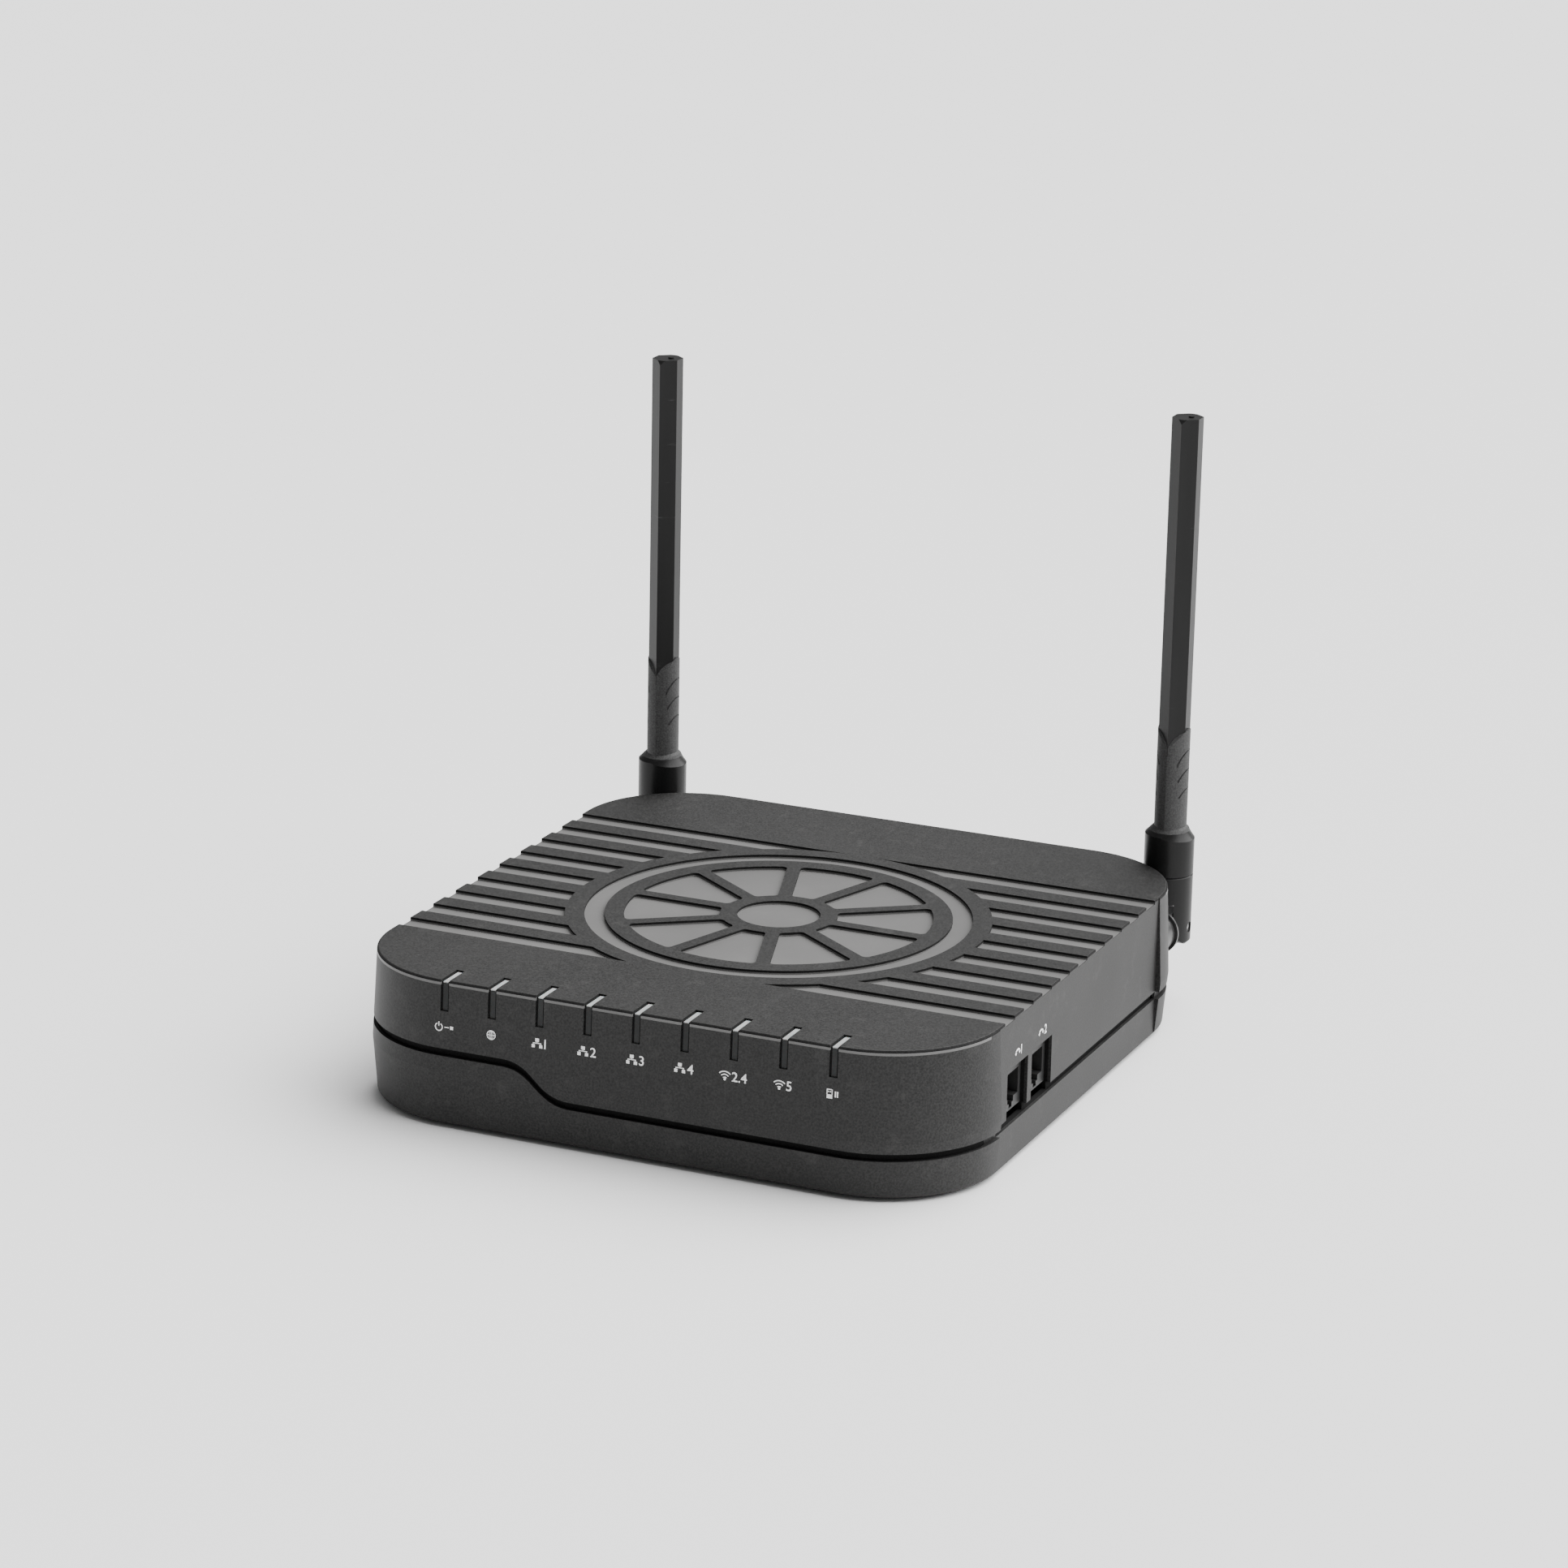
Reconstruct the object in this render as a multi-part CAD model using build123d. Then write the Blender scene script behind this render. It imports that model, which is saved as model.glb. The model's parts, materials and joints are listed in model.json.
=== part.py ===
from build123d import *
from math import atan, degrees, radians
import os

# A home gateway: a low rounded-square case in two shells with nine wrap-over indicator windows on the
# front edge, two telephone sockets in the right wall, network, USB and power sockets at the back, and
# two paddle aerials on swivel-and-fold hinges at the rear corners.
#
# Millimetres. X runs left to right seen from the front, Y from front to back, Z up from the surface
# that the feet stand on. The case plan is centred on X = Y = 0 while it is built, and every node is
# moved along Y at the end so that the origin lies under the middle of the whole box.

# ---- case ------------------------------------------------------------------------------------------
case_width = 170.0
case_depth = 177.6
case_height = 38.5
corner_radius = 30.4
wall_lean = 1.2
widest_below_top = 24.0
case_wall = 2.4
floor_thickness = 2.0
foot_proud = 1.2
facet_inset = 0.25
facet_front = 58.7
facet_rear = 57.3
top_edge_round = 0.6
bottom_edge_round = 1.0

# ---- seam between the shells -----------------------------------------------------------------------
seam_gap = 2.0
seam_left_below_top = 18.0
seam_right_below_top = 26.6
front_bend_start = -37.0
front_bend_end = -18.0
side_bend_start = 22.0
side_bend_end = 44.0
lip_inset = 1.3
lip_clearance = 0.1
lip_rise = 2.0

# ---- relief of the top face ------------------------------------------------------------------------
relief_depth = 1.0
stripe_count = 9
stripe_pitch = 12.79
stripe_width = 6.6
first_stripe_rear = 54.16
emblem_y = -1.86
stripe_stop_radius = 56.2
ring_outer = 51.1
ring_inner = 45.8
petal_count = 10
petal_outer = 40.7
petal_inner = 15.5
petal_rib = 3.6
petal_round = 1.4
hub_radius = 11.0

# ---- indicator windows -----------------------------------------------------------------------------
light_count = 9
light_pitch = 13.35
light_width = 2.3
light_drop = 8.1
light_back = 8.6
light_recess = 0.5
light_clearance = 0.08
light_skin = 3.0
light_arm = 2.4

# ---- circuit board ---------------------------------------------------------------------------------
board_above_wall = 2.4
board_thickness = 1.6
board_left = -58.0
board_right = 60.0
board_front = -86.0
board_rear = 84.0
ear_reach = 80.5
right_ear_front = -58.0
right_ear_rear = 20.0
left_ear_front = -48.0
left_ear_rear = -8.0

# ---- sockets ---------------------------------------------------------------------------------------
socket_gap = 0.35
rear_recess = 0.6
network_width = 16.0
network_height = 13.4
network_length = 21.0
network_bore_width = 11.9
network_bore_height = 7.0
network_bore_depth = 13.0
network_bore_lift = 3.9
lan_pitch = 14.0
lan_ports = 4
lan_centre = -24.0
wan_centre = 14.6
contact_count = 8
contact_pitch = 1.02
contact_width = 0.45
phone_width = 13.35
phone_height = 12.2
phone_length = 17.0
phone_bore_width = 9.9
phone_bore_height = 6.8
phone_bore_depth = 12.0
phone_bore_lift = 3.1
phone_recess = 1.75
phone_centres = (-44.9, -28.1)
usb_centre = 31.4
usb_width = 13.2
usb_height = 5.8
usb_length = 14.0
usb_lift = 0.8
usb_sheet = 0.35
inlet_centre = 55.4
inlet_width = 9.0
inlet_height = 11.0
inlet_length = 14.0
inlet_bore = 3.15
inlet_bore_depth = 9.5
inlet_pin = 1.0

# ---- switches and buttons --------------------------------------------------------------------------
switch_centre = 44.6
switch_size = 8.4
switch_length = 11.0
power_cap = 6.6
power_cap_length = 8.0
power_cap_proud = 2.6
power_stem = 3.0
power_travel = 1.5
tact_size = 6.0
tact_length = 3.6
pairing_y = -20.0
reset_y = -36.0
side_button_lift = 2.0
pairing_radius = 3.4
pairing_clearance = 0.15
pairing_proud = 1.2
pairing_collar = 0.9
side_travel = 0.8
reset_hole = 1.1
reset_rod = 1.5

# ---- screws, posts and feet ------------------------------------------------------------------------
post_x = 66.0
post_y = 70.0
post_radius = 3.6
case_screw_radius = 1.25
case_screw_head = 3.0
case_screw_length = 18.0
board_screw_radius = 1.2
board_screw_head = 2.6
standoff_radius = 3.0
board_screw_places = ((-52.0, -70.0), (54.0, -70.0), (-52.0, 50.0), (72.0, 12.0))
foot_x = 56.0
foot_y = 58.0
foot_radius = 6.0
foot_seat = 0.8
plate_width = 70.0
plate_depth = 22.0
plate_thickness = 0.3
vent_count = 15
vent_pitch = 5.2
vent_width = 2.0
vent_length = 28.0
vent_centre_y = 32.0
wall_slot_spacing = 104.0
wall_slot_y = 44.0
wall_slot_head = 4.2
wall_slot_neck = 2.2
wall_slot_length = 8.0

# ---- aerials and their hinges ----------------------------------------------------------------------
aerial_x = 76.3
aerial_y = 88.6
hinge_below_top = 17.85
barrel_radius = 6.8
barrel_gap = 0.5
pocket_radius = 10.6
pocket_wall = 2.0
bush_radius = 5.5
bush_length = 10.5
housing_wall = 1.7
stub_radius = 3.0
running_clearance = 0.05
flange_radius = 6.3
flange_thickness = 1.2
flange_edge = 0.4
flange_gap = 0.1
fork_front_clearance = 0.1
fork_slot = 7.8
fork_side_gap = 0.25
fork_roof = 7.25
fork_drop = 4.75
fork_round = 6.2
tab_half_height = 5.0
hinge_pin_radius = 1.5
hinge_pin_sink = 0.6
lead_hole = 1.2
clip_radius = 4.6
clip_thickness = 0.8
joint_line_below_top = 3.0
spigot_radius = 5.0
spigot_length = 4.0
shoulder_above_top = 8.3
grip_above_top = 38.2
arch_height = 7.0
blade_above_top = 124.0
blade_half_depth = 5.1
grip_half_thickness = 4.4
blade_half_thickness = 3.8
blade_flat_half = 2.0
cove_above_shoulder = 5.2
cove_radius = 9.7
rib_count = 3
rib_pitch = 5.4
first_rib_below_arch = 5.7
rib_line = 0.45
tip_bevel = 0.8
tip_slope = 1.5
rib_depth = 0.35
core_thickness = 3.4
core_depth = 6.2
radiator_thickness = 0.8
radiator_length = 96.0
coax_radius = 0.7
lead_socket_place = (50.0, 4.0)
lead_socket_height = 1.2

# ---- places worked out from the sizes above --------------------------------------------------------
reach = 400.0
half_width = case_width / 2
half_depth = case_depth / 2
case_bottom = foot_proud
case_top = case_bottom + case_height
widest_z = case_top - widest_below_top
floor_top = case_bottom + floor_thickness
roof = case_top - case_wall
facet_x = half_width - facet_inset
seam_left = case_top - seam_left_below_top
seam_right = case_top - seam_right_below_top
board_top = seam_right - seam_gap + board_above_wall
first_light_x = -light_pitch * (light_count - 1) / 2
rear_face = half_depth + wall_lean - rear_recess
phone_face = facet_x - phone_recess
hinge_z = case_top - hinge_below_top
flange_back = aerial_y - barrel_radius - fork_front_clearance
bush_face = flange_back - flange_thickness - flange_gap
front_reach = half_depth + wall_lean
rear_reach = aerial_y + barrel_radius
origin_shift = (front_reach - rear_reach) / 2

nodes = {}


# ---- helpers ---------------------------------------------------------------------------------------
def span_box(x0, x1, y0, y1, z0, z1):
    """A box given by its two ends on each axis."""
    box = Box(x1 - x0, y1 - y0, z1 - z0)
    return Pos((x0 + x1) / 2, (y0 + y1) / 2, (z0 + z1) / 2) * box


def rod(radius, start, end):
    """A round bar from one point to another."""
    start, end = Vector(*start), Vector(*end)
    plane = Plane(origin=start, z_dir=end - start)
    return extrude(plane * Circle(radius), amount=(end - start).length)


def tube(outer, inner, start, end):
    """A round bar with a hole along it."""
    return rod(outer, start, end) - rod(inner, start, end)


def case_form(inset, low, high, rounded=False):
    """The case's leaning outer form, moved in by inset and cut off at two heights."""
    width = case_width + 2 * (wall_lean - inset)
    depth = case_depth + 2 * (wall_lean - inset)
    plan = Pos(0, 0, widest_z) * RectangleRounded(width, depth, corner_radius + wall_lean - inset)
    below = case_height - widest_below_top
    up = extrude(plan, amount=widest_below_top, taper=degrees(atan(wall_lean / widest_below_top)))
    down = extrude(plan, amount=below, dir=(0, 0, -1), taper=degrees(atan(wall_lean / below)))
    form = up + down
    if rounded:
        form = fillet(form.edges().group_by(Axis.Z)[-1], top_edge_round)
        form = fillet(form.edges().group_by(Axis.Z)[0], bottom_edge_round)
    for side in (-1, 1):
        edge = side * (facet_x - inset)
        far = side * reach
        form -= span_box(min(edge, far), max(edge, far), -facet_front, facet_rear, -reach, reach)
    if low > case_bottom or high < case_top:
        form &= span_box(-reach, reach, -reach, reach, low, high)
    return form


def seam_side(lift, top):
    """All the space above (top) or below the seam's upper edge, with that edge lifted by lift."""
    far = reach if top else -reach
    high, low = seam_left + lift, seam_right + lift

    def bend(start, end):
        middle = (start + end) / 2
        first = Line((-reach, high), (start, high))
        curve = Bezier((start, high), (middle, high), (middle, low), (end, low))
        last = Line((end, low), (reach, low))
        return make_face(Curve() + [first, curve, last, Polyline((reach, low), (reach, far), (-reach, far),
                                                                 (-reach, high))])

    front = extrude(Plane.XZ * bend(front_bend_start, front_bend_end), amount=reach)
    back_left = extrude(Plane.YZ * bend(side_bend_start, side_bend_end), amount=-reach)
    back_left &= span_box(-reach, 0, 0, reach, -reach, reach)
    back_right = span_box(0, reach, 0, reach, min(low, far), max(low, far))
    return front + back_left + back_right


def mirrored(side, shape):
    """The shape as it is on the right, or its mirror image on the left."""
    return shape if side > 0 else mirror(shape, about=Plane.YZ)


def hinge_pocket(growth):
    """The space that an aerial's hinge turns in, at the right rear corner, grown by a wall."""
    pivot = (aerial_x, bush_face - growth, hinge_z)
    hollow = rod(pocket_radius + growth, pivot, (aerial_x, reach, hinge_z))
    scallop = rod(barrel_radius + barrel_gap + growth, (aerial_x, aerial_y, hinge_z),
                  (aerial_x, aerial_y, case_top + 1))
    return hollow + scallop


# ---- case shells -----------------------------------------------------------------------------------
def rear_ports():
    """Each rear opening's middle, width and top height."""
    lan_width = lan_pitch * (lan_ports - 1) + network_width
    return ((lan_centre, lan_width, board_top + network_height),
            (wan_centre, network_width, board_top + network_height),
            (usb_centre, usb_width, board_top + usb_lift + usb_height),
            (switch_centre, power_cap, board_top + switch_size / 2 + power_cap / 2),
            (inlet_centre, inlet_width, board_top + inlet_height))


def port_cuts(low):
    """The notches for the sockets in the rear and right walls, open downwards to the seam."""
    cuts = []
    for centre, width, high in rear_ports():
        half = width / 2 + socket_gap
        cuts.append(span_box(centre - half, centre + half, half_depth - 8, reach, low, high + socket_gap))
    for centre in phone_centres:
        half = phone_width / 2 + socket_gap
        cuts.append(span_box(facet_x - 8, reach, centre - half, centre + half, low,
                             board_top + phone_height + socket_gap))
    return cuts


def top_relief():
    """The grooves, ring and rosette that are sunk into the top face."""
    level = case_top - relief_depth
    stripes = []
    for index in range(stripe_count):
        rear = first_stripe_rear - index * stripe_pitch
        stripes.append(span_box(-reach, reach, rear - stripe_width, rear, level, reach))
    stop = Pos(0, emblem_y, level) * extrude(Circle(stripe_stop_radius), amount=reach)
    grooves = Part() + stripes
    grooves -= stop
    rosette = Circle(petal_outer) - Circle(petal_inner)
    for index in range(petal_count):
        spoke = Pos(petal_outer / 2, 0) * Rectangle(petal_outer + 2, petal_rib)
        rosette -= Rot(0, 0, index * 360 / petal_count) * spoke
    rosette = fillet(rosette.vertices(), petal_round)
    figure = (Circle(ring_outer) - Circle(ring_inner)) + rosette + Circle(hub_radius)
    return grooves + Pos(0, emblem_y, level) * extrude(figure, amount=reach / 10)


def light_slot(index, clearance, low, back):
    """The space of one indicator window, less a clearance."""
    middle = first_light_x + index * light_pitch
    half = light_width / 2 - clearance
    return span_box(middle - half, middle + half, -reach, -half_depth + back, low, reach)


def upper_cover():
    cover = case_form(0, case_bottom, case_top, rounded=True) - case_form(case_wall, floor_top, roof)
    for side in (-1, 1):
        lining = mirrored(side, hinge_pocket(pocket_wall))
        housing_end = bush_face - bush_length + 1.5
        housing = rod(bush_radius + housing_wall, (aerial_x, housing_end, hinge_z),
                      (aerial_x, bush_face, hinge_z))
        cover += case_form(case_wall / 2, floor_top, case_top - case_wall / 2) & (lining + mirrored(side, housing))
    for x in (-post_x, post_x):
        for y in (-post_y, post_y):
            cover += rod(post_radius, (x, y, floor_top + 6), (x, y, roof + 0.5))
    rim = seam_side(0, top=True)
    cover &= rim
    rebate = case_form(lip_inset - lip_clearance, floor_top, roof) & seam_side(lip_rise + lip_clearance, top=False)
    shell_band = case_form(0, floor_top, roof) - case_form(case_wall, floor_top - 1, roof + 1)
    cover -= rebate & shell_band
    for x in (-post_x, post_x):
        for y in (-post_y, post_y):
            cover += rod(post_radius, (x, y, floor_top + 6), (x, y, roof + 0.5))
            cover -= rod(case_screw_radius, (x, y, 0), (x, y, case_bottom + 2.8 + case_screw_length))
    for side in (-1, 1):
        cover -= mirrored(side, hinge_pocket(0))
        cover -= mirrored(side, rod(bush_radius, (aerial_x, 0, hinge_z), (aerial_x, bush_face + 1, hinge_z)))
    cover -= port_cuts(floor_top)
    cover -= top_relief()
    for index in range(light_count):
        cover -= light_slot(index, 0, case_top - light_drop, light_back)
    nodes["upper_cover"] = cover


def side_holes():
    """The holes in the left wall for the pairing button and the recessed reset."""
    z = board_top + side_button_lift
    pairing = rod(pairing_radius + pairing_clearance, (-reach, pairing_y, z), (-half_width + 6, pairing_y, z))
    reset = rod(reset_hole, (-reach, reset_y, z), (-half_width + 6, reset_y, z))
    return pairing + reset


def lower_case():
    case = case_form(0, case_bottom, case_top, rounded=True) - case_form(case_wall, floor_top, roof)
    case &= seam_side(-seam_gap, top=False)
    lip = case_form(lip_inset, floor_top, roof) - case_form(case_wall, floor_top - 1, roof + 1)
    lip &= seam_side(lip_rise, top=False)
    lip -= seam_side(-seam_gap - 3, top=False)
    lip -= port_cuts(seam_right - seam_gap)
    for side in (-1, 1):
        lip -= mirrored(side, hinge_pocket(pocket_wall + lip_clearance))
    case += lip
    for x in (-post_x, post_x):
        for y in (-post_y, post_y):
            case += rod(post_radius + 1, (x, y, case_bottom + 1), (x, y, floor_top + 5.9))
            case -= rod(case_screw_radius + 0.4, (x, y, 0), (x, y, reach))
            case -= rod(case_screw_head + 0.4, (x, y, 0), (x, y, case_bottom + 2.8))
    for x, y in board_screw_places:
        case += rod(standoff_radius, (x, y, case_bottom + 1), (x, y, board_top - board_thickness))
        case -= rod(board_screw_radius, (x, y, floor_top), (x, y, reach))
    for x in (-foot_x, foot_x):
        for y in (-foot_y, foot_y):
            case -= rod(foot_radius, (x, y, 0), (x, y, case_bottom + foot_seat))
    case -= span_box(-plate_width / 2, plate_width / 2, -plate_depth / 2, plate_depth / 2, 0,
                     case_bottom + plate_thickness)
    first = -vent_pitch * (vent_count - 1) / 2
    for index in range(vent_count):
        x = first + index * vent_pitch
        for y in (-vent_centre_y, vent_centre_y):
            case -= span_box(x - vent_width / 2, x + vent_width / 2, y - vent_length / 2, y + vent_length / 2,
                             0, floor_top + 1)
    for x in (-wall_slot_spacing / 2, wall_slot_spacing / 2):
        neck_end = wall_slot_y - wall_slot_length
        case -= rod(wall_slot_head, (x, neck_end, 0), (x, neck_end, floor_top + 1))
        case -= span_box(x - wall_slot_neck, x + wall_slot_neck, neck_end, wall_slot_y, 0, floor_top + 1)
        case -= rod(wall_slot_neck, (x, wall_slot_y, 0), (x, wall_slot_y, floor_top + 1))
    case -= side_holes()
    nodes["lower_case"] = case


def light_guide():
    """One clear moulding: nine bent windows, their arms down to the board, and the bar that joins them."""
    skin = case_form(light_recess, floor_top, case_top - light_recess)
    skin -= case_form(light_skin, case_bottom, case_top - light_skin)
    arm_front = -half_depth + light_skin - 0.4
    led_z = board_top + 1.3
    guide = span_box(first_light_x, -first_light_x, arm_front, arm_front + light_arm, roof - 8, roof - 5)
    for index in range(light_count):
        low = case_top - light_drop + light_clearance
        guide += skin & light_slot(index, light_clearance, low, light_back - light_clearance)
        middle = first_light_x + index * light_pitch
        half = light_width / 2 - light_clearance
        guide += span_box(middle - half, middle + half, arm_front, arm_front + light_arm, led_z,
                          case_top - light_skin + 0.5)
    nodes["light_guide"] = guide


# ---- board and what stands on it -------------------------------------------------------------------
def circuit_board():
    low = board_top - board_thickness
    board = span_box(board_left, board_right, board_front, board_rear, low, board_top)
    board += span_box(0, ear_reach, right_ear_front, right_ear_rear, low, board_top)
    board += span_box(-ear_reach + 1, 0, left_ear_front, left_ear_rear, low, board_top)
    for x, y in board_screw_places:
        board -= rod(board_screw_radius + 0.4, (x, y, 0), (x, y, reach))
    nodes["circuit_board"] = board


def on_board(x, y, width, depth, height, lift=0.0):
    """A block standing on the board, given by its middle and its size."""
    low = board_top + lift
    return span_box(x - width / 2, x + width / 2, y - depth / 2, y + depth / 2, low, low + height)


def shield_can(x, y, width, depth, height):
    """A drawn sheet-metal cover, open towards the board."""
    sheet = 0.4
    can = on_board(x, y, width, depth, height)
    can = fillet(can.edges().group_by(Axis.Z)[-1] + can.edges().filter_by(Axis.Z), 0.8)
    return can - on_board(x, y, width - 2 * sheet, depth - 2 * sheet, height - sheet)


def board_parts():
    nodes["processor"] = on_board(2, -8, 17, 17, 1.6)
    sink = on_board(2, -8, 30, 30, 2.0, 1.6)
    for index in range(8):
        sink += on_board(2 - 13.3 + index * 3.8, -8, 1.2, 30, 9.0, 1.6)
    nodes["heat_sink"] = sink
    nodes["memory_chip"] = on_board(-22, -6, 13.5, 9, 1.1)
    nodes["flash_chip"] = on_board(-22, 10, 8, 6, 1.6)
    nodes["ethernet_switch_chip"] = on_board(-14, 28, 14, 14, 1.2)
    nodes["phone_line_chip"] = on_board(42, -36, 9, 9, 1.2)
    nodes["shield_2g"] = shield_can(-36, -48, 30, 24, 3.4)
    nodes["shield_5g"] = shield_can(32, -62, 30, 22, 3.4)
    nodes["lan_transformers"] = Part() + [on_board(x, 52, 15, 10, 5.4) for x in (-36, -17)]
    nodes["wan_transformer"] = on_board(14, 52, 15, 10, 5.4)
    caps = [((50, 58), 4.0, 11.5), ((50, 44), 4.0, 11.5), ((38, 50), 3.15, 8.0)]
    nodes["capacitors"] = Part() + [fillet(rod(r, (x, y, board_top), (x, y, board_top + h)).edges()
                                           .group_by(Axis.Z)[-1], 0.6) for (x, y), r, h in caps]
    nodes["power_inductor"] = fillet(on_board(50, 28, 10, 10, 4.6).edges().filter_by(Axis.Z), 2.0)
    led_y = -half_depth + light_skin - 0.4 + light_arm / 2
    nodes["indicator_leds"] = Part() + [on_board(first_light_x + i * light_pitch, led_y, 1.6, 0.8, 0.8)
                                        for i in range(light_count)]


def plug_space(width, height, depth, lift, latch):
    """The mouth of a modular socket facing +Y with its face on Y = 0: main space and latch steps."""
    space = span_box(-width / 2, width / 2, -depth, 1, lift, lift + height)
    space += span_box(-latch, latch, -depth + 3, 1, lift - 1.4, lift)
    return space + span_box(-latch / 2, latch / 2, -depth + 3, 1, lift - 2.6, lift - 1.4)


def contact_row(lift, height, count):
    """Sprung wires that slope down from a socket's roof, for a socket facing +Y with its face on Y = 0."""
    wires = []
    for index in range(count):
        x = (index - (count - 1) / 2) * contact_pitch
        wire = Rot(12, 0, 0) * Box(contact_width, 8.0, 0.4)
        wires.append(Pos(x, -6.0, lift + height - 1.05) * wire)
    return wires


def sockets():
    mouth = plug_space(network_bore_width, network_bore_height, network_bore_depth, network_bore_lift, 3.1)
    wires = contact_row(network_bore_lift, network_bore_height, contact_count)
    half = (lan_pitch * (lan_ports - 1) + network_width) / 2
    lan = span_box(lan_centre - half, lan_centre + half, rear_face - network_length, rear_face, board_top,
                   board_top + network_height)
    lan_wires = []
    for index in range(lan_ports):
        place = Pos(lan_centre + (index - (lan_ports - 1) / 2) * lan_pitch, rear_face, board_top)
        lan -= place * mouth
        lan_wires += [place * wire for wire in wires]
    nodes["lan_socket"] = lan
    nodes["lan_contacts"] = Part() + lan_wires
    place = Pos(wan_centre, rear_face, board_top)
    wan = span_box(wan_centre - network_width / 2, wan_centre + network_width / 2,
                   rear_face - network_length, rear_face, board_top, board_top + network_height)
    nodes["wan_socket"] = wan - place * mouth
    nodes["wan_contacts"] = Part() + [place * wire for wire in wires]

    mouth = plug_space(phone_bore_width, phone_bore_height, phone_bore_depth, phone_bore_lift, 2.0)
    wires = contact_row(phone_bore_lift, phone_bore_height, 4)
    phone_wires = []
    for index, centre in enumerate(phone_centres):
        place = Pos(phone_face, centre, board_top) * Rot(0, 0, -90)
        body = span_box(-phone_width / 2, phone_width / 2, -phone_length, 0, 0, phone_height)
        nodes[f"phone_socket_{index + 1}"] = place * (body - mouth)
        phone_wires += [place * wire for wire in wires]
    nodes["phone_contacts"] = Part() + phone_wires


def usb_socket():
    low = board_top + usb_lift
    shell = span_box(usb_centre - usb_width / 2, usb_centre + usb_width / 2, rear_face - usb_length,
                     rear_face, low, low + usb_height)
    inner_half = usb_width / 2 - usb_sheet
    shell -= span_box(usb_centre - inner_half, usb_centre + inner_half, rear_face - usb_length + 2,
                      rear_face + 1, low + usb_sheet, low + usb_height - usb_sheet)
    for side in (-1, 1):
        x = usb_centre + side * (usb_width / 2 - 0.6)
        shell += span_box(x - 0.6, x + 0.6, rear_face - usb_length, rear_face - usb_length + 4, board_top, low)
    nodes["usb_shell"] = shell
    nodes["usb_tongue"] = span_box(usb_centre - 5.6, usb_centre + 5.6, rear_face - usb_length + 2,
                                   rear_face - 2.0, low + 3.1, low + 5.0)


def power_inlet():
    z = board_top + inlet_height - 4.6
    body = span_box(inlet_centre - inlet_width / 2, inlet_centre + inlet_width / 2,
                    rear_face - inlet_length, rear_face, board_top, board_top + inlet_height)
    body -= rod(inlet_bore, (inlet_centre, rear_face - inlet_bore_depth, z), (inlet_centre, rear_face + 1, z))
    back = rear_face - inlet_length + 1.5
    body -= rod(inlet_pin, (inlet_centre, back, z), (inlet_centre, rear_face, z))
    nodes["power_inlet"] = body
    nodes["power_inlet_pin"] = rod(inlet_pin, (inlet_centre, back, z), (inlet_centre, rear_face - 1.0, z))


def power_switch():
    z = board_top + switch_size / 2
    cap_end = half_depth + wall_lean + power_cap_proud
    cap_start = cap_end - power_cap_length
    body_face = cap_start - power_travel - 0.5
    hole = power_stem / 2 + 0.15
    body = span_box(switch_centre - switch_size / 2, switch_centre + switch_size / 2,
                    body_face - switch_length, body_face, board_top, board_top + switch_size)
    body -= span_box(switch_centre - hole, switch_centre + hole, body_face - 5.5, body_face + 1,
                     z - hole, z + hole)
    nodes["power_switch"] = body
    half = power_cap / 2
    cap = span_box(switch_centre - half, switch_centre + half, cap_start, cap_end, z - half, z + half)
    cap = fillet(cap.edges().group_by(Axis.Y)[-1] + cap.edges().filter_by(Axis.Y), 0.6)
    stem = power_stem / 2
    cap += span_box(switch_centre - stem, switch_centre + stem, body_face - 3.5, cap_start + 1,
                    z - stem, z + stem)
    nodes["power_button"] = cap


def side_buttons():
    z = board_top + side_button_lift
    inner_wall = -facet_x + case_wall
    collar_start = inner_wall + 0.2
    collar_end = collar_start + pairing_collar
    tact_face = collar_end + side_travel + 0.4
    button = rod(pairing_radius, (-facet_x - pairing_proud, pairing_y, z), (collar_end, pairing_y, z))
    button = chamfer(button.edges().group_by(Axis.X)[0], 0.4)
    collar = rod(pairing_radius + 0.9, (collar_start, pairing_y, z), (collar_end, pairing_y, z))
    flat = span_box(-reach, 0, pairing_y - 9, pairing_y + 9, board_top + 0.3, reach)
    nodes["pairing_button"] = button + (collar & flat)
    low, high = z - side_button_lift, z - side_button_lift + tact_size
    nodes["pairing_switch"] = span_box(tact_face, tact_face + tact_length, pairing_y - tact_size / 2,
                                       pairing_y + tact_size / 2, low, high)
    body = span_box(tact_face, tact_face + tact_length, reset_y - tact_size / 2, reset_y + tact_size / 2,
                    low, high)
    bore_end = tact_face + tact_length - 0.4
    body -= rod(reset_rod + running_clearance, (-reach, reset_y, z), (bore_end, reset_y, z))
    nodes["reset_switch"] = body
    nodes["reset_plunger"] = rod(reset_rod, (tact_face - 1.0, reset_y, z),
                                 (bore_end - side_travel - 0.1, reset_y, z))


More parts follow.
